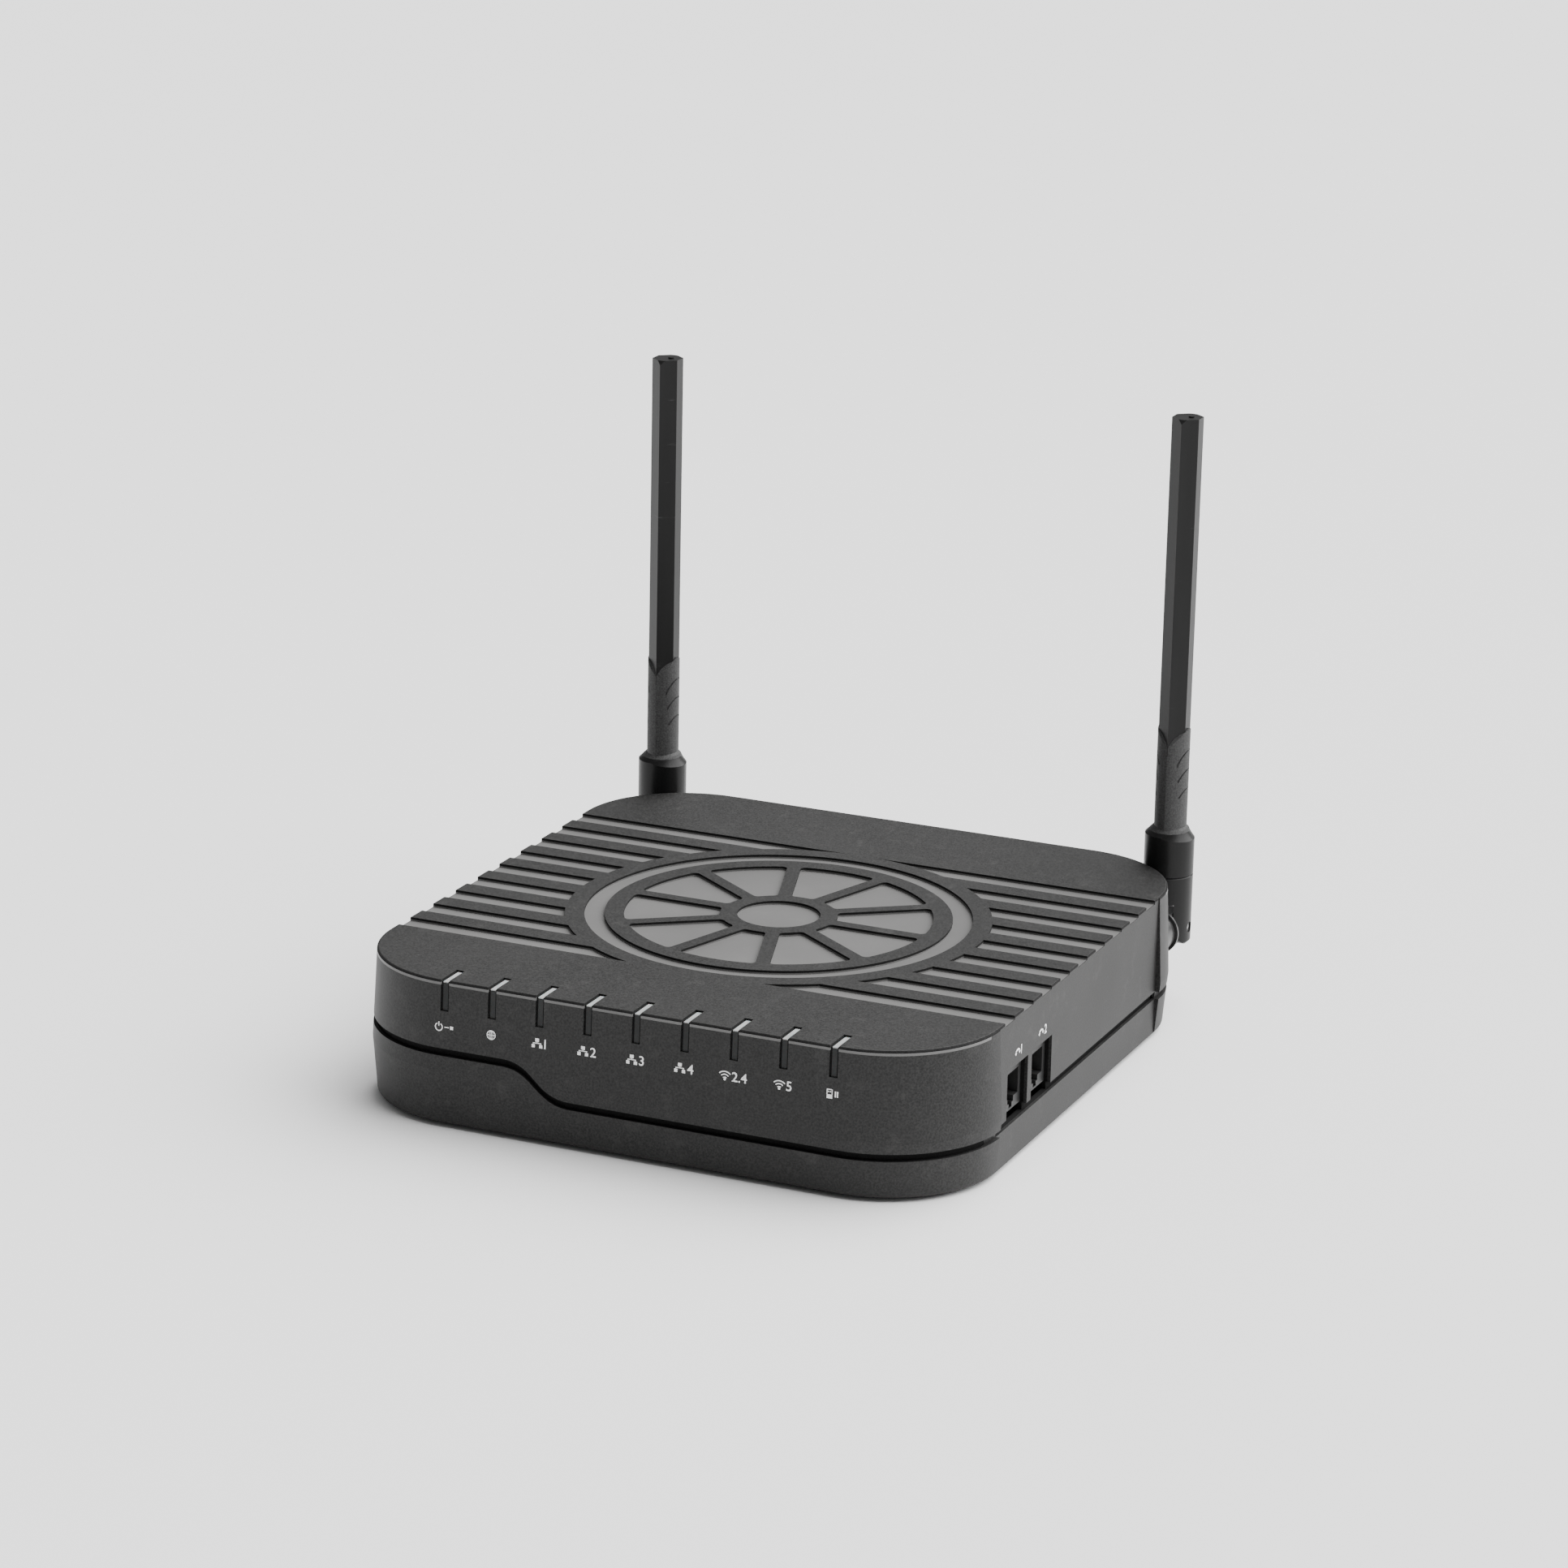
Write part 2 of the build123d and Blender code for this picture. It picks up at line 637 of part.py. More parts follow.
# ---- fasteners, feet and plate ---------------------------------------------------------------------
def fasteners():
    case_screws = []
    head_base = case_bottom + 2.8 - 1.8
    for x in (-post_x, post_x):
        for y in (-post_y, post_y):
            screw = rod(case_screw_head, (x, y, head_base), (x, y, head_base + 1.8))
            screw += rod(case_screw_radius, (x, y, head_base), (x, y, head_base + 1.8 + case_screw_length - 1))
            cross = Box(3.4, 0.8, 1.6) + Box(0.8, 3.4, 1.6)
            case_screws.append(screw - Pos(x, y, head_base) * cross)
    nodes["case_screws"] = Part() + case_screws
    board_screws = []
    for x, y in board_screw_places:
        screw = rod(board_screw_head, (x, y, board_top), (x, y, board_top + 1.6))
        screw += rod(board_screw_radius, (x, y, board_top - 7), (x, y, board_top))
        board_screws.append(screw - Pos(x, y, board_top + 1.6) * (Box(3.0, 0.7, 1.4) + Box(0.7, 3.0, 1.4)))
    nodes["board_screws"] = Part() + board_screws
    for row, y in (("front", -foot_y), ("rear", foot_y)):
        for hand, x in (("left", -foot_x), ("right", foot_x)):
            foot = rod(foot_radius, (x, y, 0), (x, y, case_bottom + foot_seat))
            nodes[f"{row}_{hand}_foot"] = fillet(foot.edges().group_by(Axis.Z)[0], 0.5)
    plate = span_box(-plate_width / 2, plate_width / 2, -plate_depth / 2, plate_depth / 2, case_bottom,
                     case_bottom + plate_thickness)
    nodes["rating_plate"] = plate


# ---- aerial hinges ---------------------------------------------------------------------------------
def hinge_bush():
    start = bush_face - bush_length
    return tube(bush_radius, stub_radius + running_clearance, (aerial_x, start, hinge_z),
                (aerial_x, bush_face, hinge_z))


def clip_start():
    return bush_face - bush_length - 0.15 - clip_thickness


def hinge_swivel():
    """The knuckle that turns in the bush and carries the fold pin."""
    flange_front = flange_back - flange_thickness
    stub_end = clip_start() - 1.6
    swivel = rod(flange_radius, (aerial_x, flange_front, hinge_z), (aerial_x, flange_back, hinge_z))
    swivel = chamfer(swivel.edges().group_by(Axis.Y)[-1], flange_edge)
    swivel += rod(stub_radius, (aerial_x, stub_end, hinge_z), (aerial_x, flange_back, hinge_z))
    half = fork_slot / 2 - fork_side_gap
    tab = span_box(aerial_x - half, aerial_x + half, flange_back - 0.6, aerial_y,
                   hinge_z - tab_half_height, hinge_z + tab_half_height)
    tab += rod(tab_half_height, (aerial_x - half, aerial_y, hinge_z), (aerial_x + half, aerial_y, hinge_z))
    swivel += tab
    swivel -= rod(hinge_pin_radius + running_clearance, (aerial_x - 9, aerial_y, hinge_z),
                  (aerial_x + 9, aerial_y, hinge_z))
    swivel -= rod(lead_hole, (aerial_x, stub_end - 1, hinge_z), (aerial_x, aerial_y - 3.5, hinge_z))
    swivel -= rod(lead_hole, (aerial_x, aerial_y - 3.5, hinge_z - lead_hole), (aerial_x, aerial_y - 3.5, reach / 2))
    start = clip_start()
    groove = tube(stub_radius + 1, stub_radius - 0.6, (aerial_x, start, hinge_z),
                  (aerial_x, start + clip_thickness, hinge_z))
    return swivel - groove


def hinge_clip():
    start = clip_start()
    return tube(clip_radius, stub_radius - 0.6, (aerial_x, start, hinge_z),
                (aerial_x, start + clip_thickness, hinge_z))


def aerial_root():
    """The forked foot of the aerial, up to the fine joint line round its barrel."""
    low = hinge_z - fork_drop
    high = case_top - joint_line_below_top
    root = rod(barrel_radius, (aerial_x, aerial_y, low), (aerial_x, aerial_y, high))
    root = chamfer(root.edges().group_by(Axis.Z)[0], 0.9)
    root = chamfer(root.edges().group_by(Axis.Z)[-1], 0.25)
    round_z = hinge_z - fork_drop + fork_round
    end = rod(fork_round, (aerial_x - 9, aerial_y, round_z), (aerial_x + 9, aerial_y, round_z))
    root &= end + span_box(aerial_x - 9, aerial_x + 9, aerial_y - 9, aerial_y + 9, round_z, high)
    root += rod(spigot_radius, (aerial_x, aerial_y, high - 1), (aerial_x, aerial_y, high + spigot_length))
    half = fork_slot / 2
    root -= span_box(aerial_x - half, aerial_x + half, aerial_y - 9, aerial_y + 9, 0, hinge_z + fork_roof)
    root -= rod(hinge_pin_radius, (aerial_x - 9, aerial_y, hinge_z), (aerial_x + 9, aerial_y, hinge_z))
    return root - rod(coax_radius, (aerial_x, aerial_y, hinge_z), (aerial_x, aerial_y, reach / 2))


def hinge_pin():
    end = barrel_radius - hinge_pin_sink
    return rod(hinge_pin_radius, (aerial_x - end, aerial_y, hinge_z), (aerial_x + end, aerial_y, hinge_z))


def blade_section(half_thickness, flat_half):
    """The paddle's six-sided section: edges to the front and back, a flat on each side."""
    return make_face(Polyline((0, -blade_half_depth), (half_thickness, -flat_half),
                              (half_thickness, flat_half), (0, blade_half_depth),
                              (-half_thickness, flat_half), (-half_thickness, -flat_half), close=True))


def grip_section():
    """The grip's lens-shaped section."""
    right = ThreePointArc((0, -blade_half_depth), (grip_half_thickness, 0), (0, blade_half_depth))
    left = ThreePointArc((0, blade_half_depth), (-grip_half_thickness, 0), (0, -blade_half_depth))
    return make_face(Curve() + [right, left])


def arch(outer_y, outer_z, inner_y, inner_z, half_span, base):
    """An arch-shaped band across X, seen from the side, cut off at half_span each way and at its base."""
    band = Ellipse(outer_y, outer_z)
    if inner_y:
        band -= Ellipse(inner_y, inner_z)
    band &= Pos(0, reach / 2) * Rectangle(2 * half_span, reach)
    return extrude(Plane.YZ.offset(-10) * (Pos(0, base) * band), amount=20)


def aerial_sleeve():
    """The long moulding on its own axis: barrel, shoulder, grip with sunk ribs, and the paddle."""
    base = case_top - joint_line_below_top
    shoulder = case_top + shoulder_above_top
    grip_top = case_top + grip_above_top
    tip = case_top + blade_above_top
    barrel = rod(barrel_radius, (0, 0, base), (0, 0, shoulder))
    barrel = chamfer(barrel.edges().group_by(Axis.Z)[0], 0.25)
    taper_height = barrel_radius - grip_half_thickness
    barrel += Pos(0, 0, shoulder + taper_height / 2) * Cone(barrel_radius, grip_half_thickness, taper_height)
    sleeve = barrel + extrude(Pos(0, 0, base + 1) * grip_section(), amount=grip_top - base)
    foot = grip_top - arch_height
    keep = arch(blade_half_depth + 0.3, arch_height, 0, 0, blade_half_depth + 1, foot)
    sleeve &= keep + span_box(-10, 10, -10, 10, base - 1, foot)
    lens_radius = (blade_half_depth ** 2 + grip_half_thickness ** 2) / (2 * grip_half_thickness)
    cove = Pos(grip_half_thickness - lens_radius, 0, shoulder + cove_above_shoulder)
    cove = cove * Torus(lens_radius + cove_radius, cove_radius)
    sleeve -= cove & span_box(0, reach, -reach, reach, 0, reach)
    for index in range(rib_count):
        crest = grip_top - first_rib_below_arch - index * rib_pitch
        width, rise = blade_half_depth - 0.8, 5.8
        rib = arch(width, rise, width - rib_line, rise - rib_line, width - 0.3 - 0.3 * index, crest - rise)
        rib -= extrude(Pos(0, 0, base) * offset(grip_section(), -rib_depth), amount=blade_above_top)
        sleeve -= rib & span_box(-10, 10, -10, 10, crest - 4.5 + 0.95 * index, crest + 1)
    blade = extrude(Pos(0, 0, foot - 2) * blade_section(blade_half_thickness, blade_flat_half),
                    amount=tip - foot + 2)
    tip_radius = blade_half_depth - tip_bevel
    length = tip - foot + 2
    blade &= Pos(0, 0, tip - length / 2) * Cone(tip_radius + length / tip_slope, tip_radius, length)
    sleeve += blade
    sleeve += rod(0.8, (1.0, 0, tip - 1), (1.0, 0, tip + 0.35))
    sleeve -= rod(spigot_radius, (0, 0, base - 1), (0, 0, base + spigot_length))
    sleeve -= span_box(-core_thickness / 2, core_thickness / 2, -core_depth / 2, core_depth / 2,
                       base + spigot_length - 0.5, tip - 4)
    return sleeve


def aerial_radiator():
    start = case_top + shoulder_above_top + 6
    strip = span_box(-radiator_thickness / 2, radiator_thickness / 2, -core_depth / 2, core_depth / 2,
                     start, start + radiator_length)
    return Pos(aerial_x, aerial_y, 0) * strip


def aerial_coax():
    end = case_top + shoulder_above_top + 6
    return rod(coax_radius, (aerial_x, aerial_y, hinge_z + fork_roof), (aerial_x, aerial_y, end))


def pigtail():
    """The lead from the board to the hinge: out of its socket, across the board and up to the hollow stub."""
    x, y = lead_socket_place
    stub_end = clip_start() - 1.6
    points = [(x, y, board_top + lead_socket_height), (x, y, board_top + 5.0), (62.0, 24.0, board_top + 5.0),
              (70.5, 42.0, board_top + 6.5), (aerial_x, 54.0, hinge_z), (aerial_x, stub_end - 0.3, hinge_z)]
    radii = []
    for before, at, after in zip(points, points[1:], points[2:]):
        first, second = Vector(*at) - Vector(*before), Vector(*after) - Vector(*at)
        turn = radians(first.get_angle(second))
        radii.append(0.45 * min(first.length, second.length) / (turn / 2))
    path = FilletPolyline(*points, radius=radii)
    lead = sweep(Plane(origin=path @ 0, z_dir=path % 0) * Circle(coax_radius), path=path)
    return lead


def hinges_and_aerials():
    makers = {"hinge_bush": hinge_bush, "hinge_swivel": hinge_swivel, "hinge_clip": hinge_clip,
              "hinge_pin": hinge_pin, "aerial_root": aerial_root, "aerial_radiator": aerial_radiator,
              "aerial_coax": aerial_coax, "aerial_pigtail": pigtail}
    sleeve = aerial_sleeve()
    for name, maker in makers.items():
        shape = maker()
        for hand, side in (("left", -1), ("right", 1)):
            nodes[f"{hand}_{name}"] = mirrored(side, shape)
            nodes[f"{hand}_aerial_sleeve"] = Pos(side * aerial_x, aerial_y, 0) * sleeve
    board_sockets = []
    for side in (-1, 1):
        x, y = side * lead_socket_place[0], lead_socket_place[1]
        board_sockets.append(rod(1.4, (x, y, board_top), (x, y, board_top + lead_socket_height)))
    nodes["aerial_board_sockets"] = Part() + board_sockets


def build():
    upper_cover()
    lower_case()
    light_guide()
    circuit_board()
    board_parts()
    sockets()
    usb_socket()
    power_inlet()
    power_switch()
    side_buttons()
    fasteners()
    hinges_and_aerials()
    os.makedirs("parts", exist_ok=True)
    for name, shape in nodes.items():
        export_step(Pos(0, origin_shift, 0) * shape, f"parts/{name}.step")
    print(len(nodes), "nodes; hinge axes cross at", aerial_x, aerial_y + origin_shift, hinge_z)


build()
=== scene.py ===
# %% [markdown]
# # A home gateway with two folding aerials
# The gateway is a low plastic case with a grooved lid, nine small indicator windows that wrap over
# its front edge, sockets in its right and rear walls, and a paddle aerial on a jointed hinge at each
# rear corner. Every part with a real size comes ready made from the CAD model, in metres, standing on
# the ground plane. This file gives those parts their finishes, adds the printed marks, and sets up a
# plain studio. It starts by loading the CAD parts and noting their overall box.

# %% Load the CAD parts
import json
from math import atan2, cos, pi, radians, sin

import bpy
from mathutils import Matrix, Vector


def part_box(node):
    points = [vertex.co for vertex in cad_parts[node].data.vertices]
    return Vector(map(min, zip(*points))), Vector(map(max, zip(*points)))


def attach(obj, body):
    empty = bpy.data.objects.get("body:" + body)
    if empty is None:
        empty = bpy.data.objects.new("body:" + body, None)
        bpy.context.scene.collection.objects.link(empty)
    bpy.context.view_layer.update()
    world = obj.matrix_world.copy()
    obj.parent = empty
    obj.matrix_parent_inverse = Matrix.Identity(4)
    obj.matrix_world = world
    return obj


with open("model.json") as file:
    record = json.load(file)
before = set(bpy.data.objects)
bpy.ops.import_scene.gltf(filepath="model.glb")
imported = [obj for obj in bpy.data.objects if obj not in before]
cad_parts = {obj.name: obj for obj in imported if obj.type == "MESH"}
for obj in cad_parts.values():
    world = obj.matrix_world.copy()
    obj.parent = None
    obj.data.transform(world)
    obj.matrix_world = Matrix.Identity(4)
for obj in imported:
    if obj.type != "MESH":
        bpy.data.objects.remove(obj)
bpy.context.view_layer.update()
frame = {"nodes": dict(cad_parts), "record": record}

MM = 0.001
nodes = frame["nodes"]
cover_low, cover_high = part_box("upper_cover")
top_z = cover_high.z
print("parts:", len(nodes), "top of the case at", round(top_z / MM, 1), "mm")

# %% [markdown]
# ## Arithmetic on shader sockets
# A finish is a small sum: so much grain, plus so much wear, under a mask. Wiring each Math node by
# hand hides that sum. A socket can instead be wrapped in a small class that knows +, -, * and >, so
# that the finish reads as an expression and the nodes appear by themselves. Any other node is added
# by one method that takes its type, its settings, and what goes into its sockets.


# %% Signals and finishes
class Signal:
    """What comes out of a node, ready to be used in a sum."""

    def __init__(self, finish, socket):
        self.finish = finish
        self.socket = socket

    def sum(self, operation, first, second):
        return self.finish.add("ShaderNodeMath", {"operation": operation}, {0: first, 1: second})

    def __add__(self, other):
        return self.sum("ADD", self, other)

    def __radd__(self, other):
        return self.sum("ADD", other, self)

    def __sub__(self, other):
        return self.sum("SUBTRACT", self, other)

    def __rsub__(self, other):
        return self.sum("SUBTRACT", other, self)

    def __mul__(self, other):
        return self.sum("MULTIPLY", self, other)

    def __rmul__(self, other):
        return self.sum("MULTIPLY", other, self)

    def __gt__(self, other):
        return self.sum("GREATER_THAN", self, other)

    def __lt__(self, other):
        return self.sum("LESS_THAN", self, other)

    def size(self):
        return self.sum("ABSOLUTE", self, 0.0)

    def root(self):
        return self.sum("SQRT", self, 0.0)

    def top(self, other):
        return self.sum("MAXIMUM", self, other)

    def low(self, other):
        return self.sum("MINIMUM", self, other)

    def fold(self, step):
        """The distance to the nearest multiple of a step."""
        return self.sum("PINGPONG", self, step / 2)


class Finish:
    """One material being mixed."""

    def __init__(self, name):
        self.material = bpy.data.materials.new(name)
        self.material.use_nodes = True
        self.tree = self.material.node_tree
        self.tree.nodes.clear()

    def add(self, kind, settings=None, inputs=None, output=0):
        """Adds a node: its settings first, then the values or links of its sockets."""
        node = self.tree.nodes.new(kind)
        for key, value in (settings or {}).items():
            setattr(node, key, value)
        for key, value in (inputs or {}).items():
            if isinstance(value, Signal):
                self.tree.links.new(value.socket, node.inputs[key])
            elif isinstance(value, tuple) and len(value) == 3 and node.inputs[key].type == "RGBA":
                node.inputs[key].default_value = (*value, 1.0)
            else:
                node.inputs[key].default_value = value
        return Signal(self, node.outputs[output])

    def place(self):
        """Where a point is on the object, in metres."""
        return self.add("ShaderNodeTexCoord", output=3)

    def axes(self):
        """The three parts of a point's place."""
        split = self.add("ShaderNodeSeparateXYZ", inputs={0: self.place()}).socket.node
        return [Signal(self, split.outputs[index]) for index in range(3)]

    def noise(self, per_metre, detail=2.0, rough=0.5, where=None):
        """Soft random values, about that many blotches to the metre."""
        inputs = {"Vector": where or self.place(), "Scale": per_metre, "Detail": detail, "Roughness": rough}
        return self.add("ShaderNodeTexNoise", inputs=inputs)

    def stretched(self, x, y, z):
        """A point's place, with each axis scaled, for grain that runs one way."""
        return self.add("ShaderNodeMapping", inputs={"Vector": self.place(), "Scale": (x, y, z)})

    def span(self, value, low, high, to_low=0.0, to_high=1.0):
        """A value moved from one range to another and held inside it."""
        inputs = {0: value, 1: low, 2: high, 3: to_low, 4: to_high}
        return self.add("ShaderNodeMapRange", {"clamp": True}, inputs)

    def tint(self, mask, first, second):
        """The first colour where the mask is 0, the second where it is 1."""
        inputs = {0: mask, 6: first, 7: second}
        return self.add("ShaderNodeMix", {"data_type": "RGBA"}, inputs, output=2)

    def relief(self, height, strength, distance, under=None):
        """Fine ups and downs, as a normal."""
        inputs = {"Height": height, "Strength": strength, "Distance": distance}
        if under:
            inputs["Normal"] = under
        return self.add("ShaderNodeBump", inputs=inputs)

    def shade(self, **sockets):
        """Ends the finish with the main shader. Names are the shader's sockets, with _ for a space."""
        inputs = {key.replace("_", " "): value for key, value in sockets.items()}
        surface = self.add("ShaderNodeBsdfPrincipled", inputs=inputs)
        self.add_output(surface)
        return self.material

    def add_output(self, surface):
        end = self.tree.nodes.new("ShaderNodeOutputMaterial")
        self.tree.links.new(surface.socket, end.inputs["Surface"])


def grey(level, warmth=0.0):
    """A grey, made slightly warmer or cooler."""
    return (level * (1 + warmth), level, level * (1 - warmth))


print("a finish is written as a sum of signals")

# %% [markdown]
# ## The case plastic
# The lid and the base are moulded in one dark grey plastic whose tool was spark eroded, so the skin
# has a fine even grain that kills most of its shine. The floors of the grooves, the ring and the
# rosette come from polished inserts: they are smoother, and their much paler colour is a painted
# sheen that stands in for the light their polish reflects. A picture texture could show this, but it
# would need an unwrapped mesh and would blur up close. A noise in object space is sharp at any
# distance, and the height of a point tells floor from lid, because every recess is 1 mm deep.
#
# Behind the skin, in the open seam and round the sockets, the plastic is left rough, as it left the tool,
# and is painted nearly black: painted shade, since it sees almost no light. How far a point lies behind
# the skin comes from the distance to a rectangle with round corners, which is the plan of the case. The
# lid's rounded rim is made rough and painted dark too, a painted shade that keeps it from drawing a
# bright highlight line all the way round.

# %% Case plastic
GROOVE_DEPTH, RIM_TOP, RIM_BOTTOM = 1.0 * MM, 0.03 * MM, 0.62 * MM
HALF_CASE = 84.6 * MM
CORNER, LEAN, WIDEST_DROP = 30.4 * MM, 1.2 * MM, 24.0 * MM


def behind_skin(finish, x, y, z):
    """1 where a point is more than about 0.9 mm inside the case's leaning outer form."""
    half_x, half_y = HALF_CASE + 0.4 * MM, (cover_high.y - cover_low.y) / 2 - LEAN
    past_x = x.size() - (half_x - CORNER)
    past_y = (y - (cover_high.y + cover_low.y) / 2).size() - (half_y - CORNER)
    round_x, round_y = past_x.top(0.0), past_y.top(0.0)
    outside = (round_x * round_x + round_y * round_y).root() + past_x.top(past_y).low(0.0) - CORNER
    drop = (z - (top_z - WIDEST_DROP)).size()
    lean = finish.span(drop, 0.0, WIDEST_DROP, LEAN, 0.0)
    return (outside < lean - 0.9 * MM) * (x.size() < HALF_CASE - 0.7 * MM) * (z < top_z - 2.0 * MM)


def mix_case_plastic():
    finish = Finish("case_plastic")
    x, y, z = finish.axes()
    # painted shade: seam and socket surfaces behind the skin are marked here and painted nearly black below
    inside = behind_skin(finish, x, y, z)
    floor = (z < top_z - GROOVE_DEPTH * 0.6) * (z > top_z - GROOVE_DEPTH * 1.3) * (x.size() < HALF_CASE)
    # painted shade: the rounded rim band is darkened, and made rough, to hide the bright highlight line
    # along it
    rim_shade = (z > top_z - RIM_BOTTOM) * (z < top_z - RIM_TOP)
    cloud = finish.noise(28.0, 3.0)
    grain = finish.noise(1900.0, 2.0, 0.6)
    fine = finish.noise(4200.0, 1.0)
    scuff = finish.span(finish.noise(9.0, 6.0, 0.7, finish.stretched(6.0, 1.0, 1.0)), 0.62, 0.74)
    dust = finish.span(finish.noise(150.0, 5.0, 0.7), 0.56, 0.8, 0.0, 0.35)
    skin = finish.tint(finish.span(grain, 0.35, 0.65), grey(0.006, 0.01), grey(0.025, 0.01))
    skin = finish.tint(finish.span(cloud, 0.3, 0.7, 0.0, 0.25), skin, grey(0.026, 0.02))
    # painted sheen: the groove floors are painted far paler than the skin, for the light their polish
    # reflects
    floor_sheen = finish.tint(finish.span(cloud, 0.3, 0.7), grey(0.115, 0.012), grey(0.14, 0.012))
    colour = finish.tint(floor, skin, floor_sheen)
    colour = finish.tint(dust * 0.25, colour, grey(0.22, 0.03))
    colour = finish.tint(scuff * 0.12, colour, grey(0.16))
    # painted shade: nearly black behind the skin, and darkened on the lid's rim to hide its highlight
    colour = finish.tint(inside * 0.95 + rim_shade * 0.6, colour, grey(0.001))
    rough = 0.52 - floor * 0.14 + (cloud - 0.5) * 0.12 + (grain - 0.5) * 0.12 - scuff * 0.08
    rough = rough + inside * 0.45 + rim_shade * 0.45
    height = (grain + fine * 0.5) * (1 - floor * 0.8)
    bump = finish.relief(height, 0.45, 0.05 * MM)
    return finish.shade(Base_Color=colour, Roughness=rough, Normal=bump, Specular_IOR_Level=0.27)


case_plastic = mix_case_plastic()
print("mixed", case_plastic.name)

# %% [markdown]
# ## Other moulded plastics
# The aerials, hinges, sockets and buttons are moulded too, each in its own black and with its own
# degree of polish. They differ only in colour, grain and gloss, so one recipe with a few numbers
# serves them all: a fine grain for the skin of the tool, slow clouds for uneven gloss, and thin
# scratches from handling.


# %% Moulded plastic recipe
def mix_moulded(name, dark, light, gloss, grain_size=0.35, grain_depth=0.02, coat=0.0, worn=0.1):
    """A moulded plastic. Sizes are in millimetres, gloss is the shader's roughness."""
    finish = Finish(name)
    grain = finish.noise(1.0 / (grain_size * MM), 2.0, 0.6)
    cloud = finish.noise(45.0, 3.0)
    scratch = finish.noise(60.0, 4.0, 0.7, finish.stretched(1.0, 9.0, 1.0))
    scratch = finish.span(scratch, 0.64, 0.7)
    colour = finish.tint(finish.span(grain, 0.3, 0.7), dark, light)
    colour = finish.tint(scratch * worn, colour, tuple(min(1.0, 2.5 * c + 0.02) for c in light))
    rough = gloss + (cloud - 0.5) * 0.14 + (grain - 0.5) * 0.08 + scratch * 0.1
    bump = finish.relief(grain, 0.4, grain_depth * MM)
    return finish.shade(Base_Color=colour, Roughness=rough, Normal=bump, Coat_Weight=coat)


# %% [markdown]
# ## The aerial plastic
# An aerial's sleeve is satin black, but the short grip above the shoulder has a matt, grainy skin so
# that fingers hold it. On the real tool the two skins are one moulding, so one finish covers the
# sleeve. It changes at the height where the grip starts, and again where the grip's arched end stands
# proud of the flat-sided paddle.


# %% Aerial plastic
BLADE_HALF = 3.8 * MM
BLADE_SLOPE, BLADE_EDGE = 0.816, 5.15 * MM
GRIP_START, GRIP_ARCH, GRIP_END = (top_z + height * MM for height in (9.3, 31.0, 38.3))
sleeve_middle = sum(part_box("right_aerial_sleeve"), Vector()) / 2


def mix_aerial_plastic():
    finish = Finish("aerial_plastic")
    x, y, z = finish.axes()
    across = (x.size() - abs(sleeve_middle.x)).size()
    along = (y - sleeve_middle.y).size()
    proud = (across > BLADE_HALF + 0.04 * MM) + (across * BLADE_SLOPE + along > BLADE_EDGE)
    grip = (z > GRIP_START) * (z < GRIP_ARCH) + (z > GRIP_ARCH) * (proud > 0.5)
    grip = grip * (z < GRIP_END)
    grain = finish.noise(2600.0, 2.0, 0.6)
    flow = finish.noise(30.0, 3.0, 0.5, finish.stretched(4.0, 4.0, 0.6))
    scratch = finish.span(finish.noise(70.0, 4.0, 0.7, finish.stretched(1.0, 1.0, 8.0)), 0.65, 0.72)
    skin = finish.tint(finish.span(flow, 0.3, 0.7), grey(0.006), grey(0.011))
    held = finish.tint(finish.span(grain, 0.3, 0.7), grey(0.03), grey(0.065))
    colour = finish.tint(grip, skin, held)
    colour = finish.tint(scratch * 0.15, colour, grey(0.12))
    rough = 0.36 + grip * 0.22 + (flow - 0.5) * 0.16 + (grain - 0.5) * 0.06 + scratch * 0.08
    bump = finish.relief(grain * (0.25 + grip), 0.4, 0.04 * MM)
    return finish.shade(Base_Color=colour, Roughness=rough, Normal=bump, Specular_IOR_Level=0.18)


aerial_plastic = mix_aerial_plastic()
print("mixed", aerial_plastic.name)

# %% [markdown]
# ## Metals
# Shield cans, the USB shell, screws and the heat sink are rolled or drawn metal: the rolls leave fine
# lines one way, and handling leaves dull patches. A noise squeezed along one axis gives the lines.


# %% Metal recipe
def mix_metal(name, colour, gloss, lines=(1.0, 14.0, 1.0), tarnish=0.15):
    finish = Finish(name)
    brushed = finish.noise(260.0, 4.0, 0.7, finish.stretched(*lines))
    patch = finish.noise(90.0, 4.0, 0.6)
    dull = tuple(0.55 * c for c in colour)
    tone = finish.tint(finish.span(patch, 0.45, 0.75, 0.0, tarnish), colour, dull)
    rough = gloss + (brushed - 0.5) * 0.18 + (patch - 0.5) * 0.12
    bump = finish.relief(brushed, 0.15, 0.02 * MM)
    return finish.shade(Base_Color=tone, Roughness=rough, Metallic=1.0, Normal=bump)


# %% [markdown]
# ## The indicator windows
# The windows are the ends of one clear moulding that carries light from the board to the front edge.
# An unlit window looks nearly as dark as the case from the front, so its front is painted dark as painted
# shade, with a painted shadow down each side where its edge meets the lid; its frosted top is painted pale
# as painted light where it catches the lamps. Light does go a little way in, which is subsurface
# scattering: it costs little on so small a part.


# %% Window plastic
WINDOW_COUNT, WINDOW_WIDTH, GAP_SHADOW_WIDTH = 9, 2.14 * MM, 0.38 * MM
guide_low, guide_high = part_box("light_guide")
window_step = (guide_high.x - guide_low.x - WINDOW_WIDTH) / (WINDOW_COUNT - 1)


